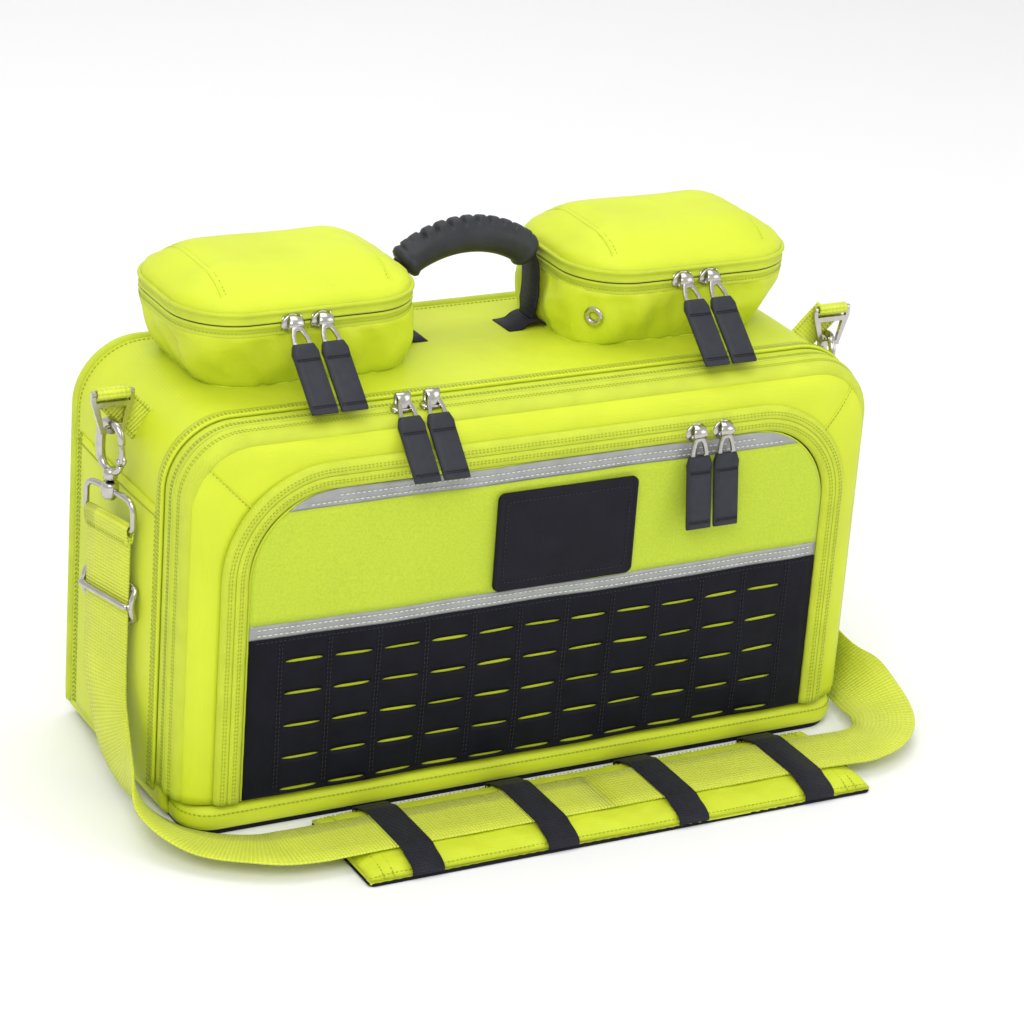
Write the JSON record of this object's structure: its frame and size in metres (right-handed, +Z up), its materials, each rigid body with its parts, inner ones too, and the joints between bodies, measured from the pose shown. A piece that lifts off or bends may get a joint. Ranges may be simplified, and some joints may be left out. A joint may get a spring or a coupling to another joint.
{
  "type": "response bag",
  "caption": "Soft-sided carry bag with a fold-down front door, zipped front pocket, lidded pods on top, carry handle and hook-on shoulder strap with a sliding pad.",
  "frame": {"origin": "on the floor, under the middle of the bag's body", "axes": "+X the bag's right seen from its front, +Y towards its back, +Z up"},
  "size_m": [0.6403, 0.331, 0.391],
  "materials": {
    "shell_fabric": "coated high-visibility yellow-green fabric, soft sheen",
    "trim": "yellow-green woven zip tape and piping",
    "webbing": "yellow-green herringbone webbing",
    "dark_fabric": "near-black coated fabric",
    "dark_webbing": "black woven webbing",
    "grip_rubber": "charcoal moulded rubber, matte",
    "patch_rubber": "dark rubber patch, matte",
    "metal": "satin nickel plate",
    "reflective": "grey reflective tape with white stitching",
    "loop_pile": "yellow-green fuzzy loop fabric",
    "pull_tag": "dark grey folded tag on a nickel puller",
    "board": "black plastic stiffening board"
  },
  "bodies": {
    "bag": {"base_cover": "dark_fabric", "base_board": "board", "base_panel": "shell_fabric", "front_sill": "shell_fabric", "back_panel": "shell_fabric", "left_end_panel": "shell_fabric", "right_end_panel": "shell_fabric", "top_panel": "shell_fabric", "rear_piping": "trim", "end_pockets": "shell_fabric", "main_zip_tape": "trim", "main_divider": "dark_fabric", "cylinder_straps": "dark_webbing", "left_pod_base": "shell_fabric", "right_pod_base": "shell_fabric", "left_pod_zip": "trim", "right_pod_zip": "trim", "pod_eyelet": "metal", "handle_anchors": "dark_webbing", "ring_tabs": "webbing"},
    "handle": {"handle_grip": "grip_rubber", "handle_webbing": "dark_webbing"},
    "left_lid": {"left_pod_lid": "shell_fabric"},
    "right_lid": {"right_pod_lid": "shell_fabric"},
    "door": {"door_panel": "shell_fabric", "door_piping": "trim", "pocket_gusset": "shell_fabric", "pocket_zip": "trim"},
    "flap": {"pocket_flap": "shell_fabric", "reflective_tapes": "reflective", "loop_panel": "loop_pile", "slot_panel": "dark_fabric"},
    "patch": {"patch_face": "patch_rubber", "patch_backing": "dark_fabric"},
    "left_ring": {"left_ring": "metal"},
    "right_ring": {"right_ring": "metal"},
    "strap": {"strap_webbing": "webbing", "swivel_eyes": "metal"},
    "left_hook": {"left_hook": "metal"},
    "right_hook": {"right_hook": "metal"},
    "left_gate": {"left_gate": "metal"},
    "right_gate": {"right_gate": "metal"},
    "triglide": {"triglide": "metal"},
    "pad": {"shoulder_pad": "shell_fabric"},
    "left_pod_slider_a": {"left_pod_slider_a": "metal"},
    "left_pod_pull_a": {"left_pod_pull_a": "pull_tag"},
    "left_pod_slider_b": {"left_pod_slider_b": "metal"},
    "left_pod_pull_b": {"left_pod_pull_b": "pull_tag"},
    "right_pod_slider_a": {"right_pod_slider_a": "metal"},
    "right_pod_pull_a": {"right_pod_pull_a": "pull_tag"},
    "right_pod_slider_b": {"right_pod_slider_b": "metal"},
    "right_pod_pull_b": {"right_pod_pull_b": "pull_tag"},
    "main_slider_a": {"main_slider_a": "metal"},
    "main_pull_a": {"main_pull_a": "pull_tag"},
    "main_slider_b": {"main_slider_b": "metal"},
    "main_pull_b": {"main_pull_b": "pull_tag"},
    "pocket_slider_a": {"pocket_slider_a": "metal"},
    "pocket_pull_a": {"pocket_pull_a": "pull_tag"},
    "pocket_slider_b": {"pocket_slider_b": "metal"},
    "pocket_pull_b": {"pocket_pull_b": "pull_tag"}
  },
  "joints": [
    {"name": "handle_fold", "type": "hinge", "parent": "bag", "child": "handle", "pos_m": [0, 0.043, 0.3135], "axis": [1, 0, 0], "range_deg": [-70, 70]},
    {"name": "left_lid_hinge", "type": "hinge", "parent": "bag", "child": "left_lid", "pos_m": [-0.157, 0.1025, 0.3581], "axis": [-1, 0, 0], "range_deg": [0, 110]},
    {"name": "right_lid_hinge", "type": "hinge", "parent": "bag", "child": "right_lid", "pos_m": [0.157, 0.1025, 0.3581], "axis": [-1, 0, 0], "range_deg": [0, 110]},
    {"name": "door_hinge", "type": "hinge", "parent": "bag", "child": "door", "pos_m": [0, -0.1125, 0.0232], "axis": [-1, 0, 0], "range_deg": [-85, 0]},
    {"name": "flap_hinge", "type": "hinge", "parent": "door", "child": "flap", "pos_m": [0, -0.1128, 0.024], "axis": [1, 0, 0], "range_deg": [0, 85]},
    {"name": "patch_lift", "type": "slide", "parent": "flap", "child": "patch", "axis": [0, -1, 0], "range_m": [0, 0.06]},
    {"name": "left_pod_zip_a", "type": "slide", "parent": "bag", "child": "left_pod_slider_a", "axis": [1, 0, 0], "range_m": [-0.021, 0]},
    {"name": "left_pod_pull_a_swing", "type": "hinge", "parent": "left_pod_slider_a", "child": "left_pod_pull_a", "pos_m": [-0.175, -0.0386, 0.355], "axis": [-1, 0, 0], "range_deg": [0, 100]},
    {"name": "left_pod_zip_b", "type": "slide", "parent": "bag", "child": "left_pod_slider_b", "axis": [1, 0, 0], "range_m": [0, 0.034]},
    {"name": "left_pod_pull_b_swing", "type": "hinge", "parent": "left_pod_slider_b", "child": "left_pod_pull_b", "pos_m": [-0.152, -0.0386, 0.355], "axis": [-1, 0, 0], "range_deg": [0, 100]},
    {"name": "right_pod_zip_a", "type": "slide", "parent": "bag", "child": "right_pod_slider_a", "axis": [1, 0, 0], "range_m": [-0.025, 0]},
    {"name": "right_pod_pull_a_swing", "type": "hinge", "parent": "right_pod_slider_a", "child": "right_pod_pull_a", "pos_m": [0.143, -0.0386, 0.355], "axis": [-1, 0, 0], "range_deg": [0, 100]},
    {"name": "right_pod_zip_b", "type": "slide", "parent": "bag", "child": "right_pod_slider_b", "axis": [1, 0, 0], "range_m": [0, 0.03]},
    {"name": "right_pod_pull_b_swing", "type": "hinge", "parent": "right_pod_slider_b", "child": "right_pod_pull_b", "pos_m": [0.166, -0.0386, 0.355], "axis": [-1, 0, 0], "range_deg": [0, 100]},
    {"name": "main_zip_a", "type": "slide", "parent": "door", "child": "main_slider_a", "axis": [1, 0, 0], "range_m": [-0.016, 0]},
    {"name": "main_pull_a_swing", "type": "hinge", "parent": "main_slider_a", "child": "main_pull_a", "pos_m": [-0.111, -0.084, 0.3108], "axis": [-1, 0, 0], "range_deg": [0, 110]},
    {"name": "main_zip_b", "type": "slide", "parent": "door", "child": "main_slider_b", "axis": [1, 0, 0], "range_m": [0, 0.15]},
    {"name": "main_pull_b_swing", "type": "hinge", "parent": "main_slider_b", "child": "main_pull_b", "pos_m": [-0.088, -0.084, 0.3108], "axis": [-1, 0, 0], "range_deg": [0, 110]},
    {"name": "pocket_zip_a", "type": "slide", "parent": "flap", "child": "pocket_slider_a", "axis": [1, 0, 0], "range_m": [-0.165, 0]},
    {"name": "pocket_pull_a_swing", "type": "hinge", "parent": "pocket_slider_a", "child": "pocket_pull_a", "pos_m": [0.117, -0.1185, 0.267], "axis": [-1, 0, 0], "range_deg": [0, 110]},
    {"name": "pocket_zip_b", "type": "slide", "parent": "flap", "child": "pocket_slider_b", "axis": [1, 0, 0], "range_m": [0, 0.022]},
    {"name": "pocket_pull_b_swing", "type": "hinge", "parent": "pocket_slider_b", "child": "pocket_pull_b", "pos_m": [0.14, -0.1185, 0.267], "axis": [-1, 0, 0], "range_deg": [0, 110]},
    {"name": "strap_swing", "type": "hinge", "parent": "bag", "child": "strap", "pos_m": [0, -0.006, 0.306], "axis": [-1, 0, 0], "range_deg": [0, 150]},
    {"name": "left_ring_swing", "type": "hinge", "parent": "bag", "child": "left_ring", "pos_m": [-0.298, -0.006, 0.306], "axis": [-1, 0, 0], "range_deg": [0, 150]},
    {"name": "right_ring_swing", "type": "hinge", "parent": "bag", "child": "right_ring", "pos_m": [0.298, -0.006, 0.306], "axis": [-1, 0, 0], "range_deg": [0, 150]},
    {"name": "left_hook_swivel", "type": "hinge", "parent": "strap", "child": "left_hook", "pos_m": [-0.298, -0.006, 0.24], "axis": [0, 0, 1], "range_deg": [-12, 12]},
    {"name": "left_gate_hinge", "type": "hinge", "parent": "left_hook", "child": "left_gate", "pos_m": [-0.29489, -0.01759, 0.2598], "axis": [-0.9659, -0.2588, 0], "range_deg": [0, 25]},
    {"name": "right_hook_swivel", "type": "hinge", "parent": "strap", "child": "right_hook", "pos_m": [0.298, -0.006, 0.24], "axis": [0, 0, 1], "range_deg": [-12, 12]},
    {"name": "right_gate_hinge", "type": "hinge", "parent": "right_hook", "child": "right_gate", "pos_m": [0.29489, -0.01759, 0.2598], "axis": [-0.9659, 0.2588, 0], "range_deg": [0, 25]},
    {"name": "triglide_slide", "type": "slide", "parent": "strap", "child": "triglide", "axis": [0, 0, 1], "range_m": [-0.035, 0.03]},
    {"name": "pad_slide", "type": "slide", "parent": "strap", "child": "pad", "axis": [1, 0, 0], "range_m": [-0.03, 0.015]}
  ],
  "couplings": [
    {"joint": "left_ring_swing", "follows": "strap_swing", "ratio": 1},
    {"joint": "right_ring_swing", "follows": "strap_swing", "ratio": 1}
  ]
}
